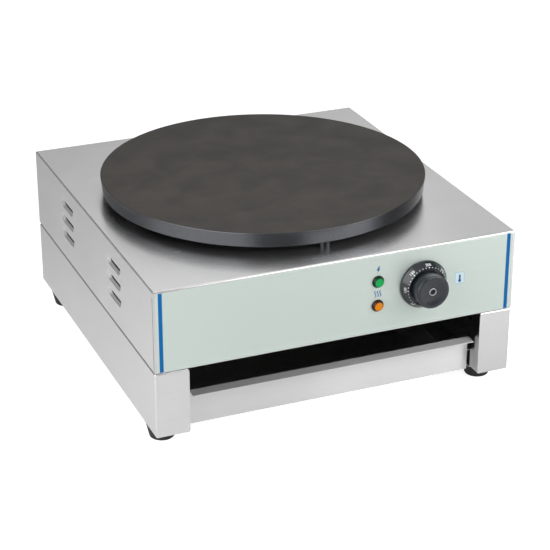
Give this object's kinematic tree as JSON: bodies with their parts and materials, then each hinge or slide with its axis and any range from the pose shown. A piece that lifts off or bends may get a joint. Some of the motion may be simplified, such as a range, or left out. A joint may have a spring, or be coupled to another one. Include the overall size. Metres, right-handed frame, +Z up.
{
  "type": "electric crepe maker",
  "caption": "Countertop electric crepe maker: a round cast-iron plate on posts over a stainless housing with a thermostat knob and pilot lamps, on a stand with a pull-out tray.",
  "frame": {"origin": "on the counter, under the centre of the round plate", "axes": "+X to the right seen from the front, +Y to the back, +Z up; the knob is on the -Y face"},
  "size_m": [0.45, 0.52, 0.2291],
  "materials": {
    "stainless": "satin",
    "fastener": "satin",
    "rubber": "matte",
    "overlay": "satin",
    "cast_iron": "satin",
    "element_sheath": "matte",
    "fibre_board": "matte",
    "knob_plastic": "satin",
    "moulded_case": "matte",
    "lens_green": "gloss",
    "lens_orange": "gloss",
    "ceramic_block": "matte",
    "brass": "satin"
  },
  "bodies": {
    "base": {"stand_right": "stainless", "stand_left": "stainless", "stand_back": "stainless", "housing_shell": "stainless", "housing_floor": "stainless", "back_panel": "stainless", "runner_right": "stainless", "runner_left": "stainless", "element_pan": "stainless", "plate_posts": "stainless", "foot_screws": "fastener", "foot_nuts": "fastener", "housing_screws": "fastener", "housing_nuts": "fastener", "back_panel_screws": "fastener", "stand_back_screws": "fastener", "plate_studs": "fastener", "stud_nuts": "fastener", "pan_rivets": "fastener", "clamp_screws": "fastener", "element_clamps": "fastener", "thermostat_screws": "fastener", "thermostat_bulb": "fastener", "safety_cutout": "fastener", "lamp_clips": "fastener", "foot_front_left": "rubber", "foot_front_right": "rubber", "foot_back_left": "rubber", "foot_back_right": "rubber", "gland_seal": "rubber", "control_overlay": "overlay", "griddle_plate": "cast_iron", "heating_element": "element_sheath", "insulation_disc": "fibre_board", "thermostat_body": "moulded_case", "power_lamp_body": "moulded_case", "heat_lamp_body": "moulded_case", "gland_body": "moulded_case", "gland_dome_nut": "moulded_case", "gland_locknut": "moulded_case", "power_lamp_lens": "lens_green", "heat_lamp_lens": "lens_orange", "terminal_block": "ceramic_block", "terminal_barrels": "brass", "earth_stud": "brass", "earth_nuts": "brass"},
    "tray": {"tray_box": "stainless", "tray_front": "stainless"},
    "knob": {"thermostat_shaft": "fastener", "knob_skirt": "knob_plastic", "knob_grip": "knob_plastic", "knob_cap": "knob_plastic"}
  },
  "joints": [
    {"name": "tray_slide", "type": "slide", "parent": "base", "child": "tray", "axis": [0, -1, 0], "range_m": [0, 0.38]},
    {"name": "knob_turn", "type": "hinge", "parent": "base", "child": "knob", "pos_m": [0.1055, -0.233, 0.1555], "axis": [0, 1, 0], "range_deg": [0, 280]}
  ]
}
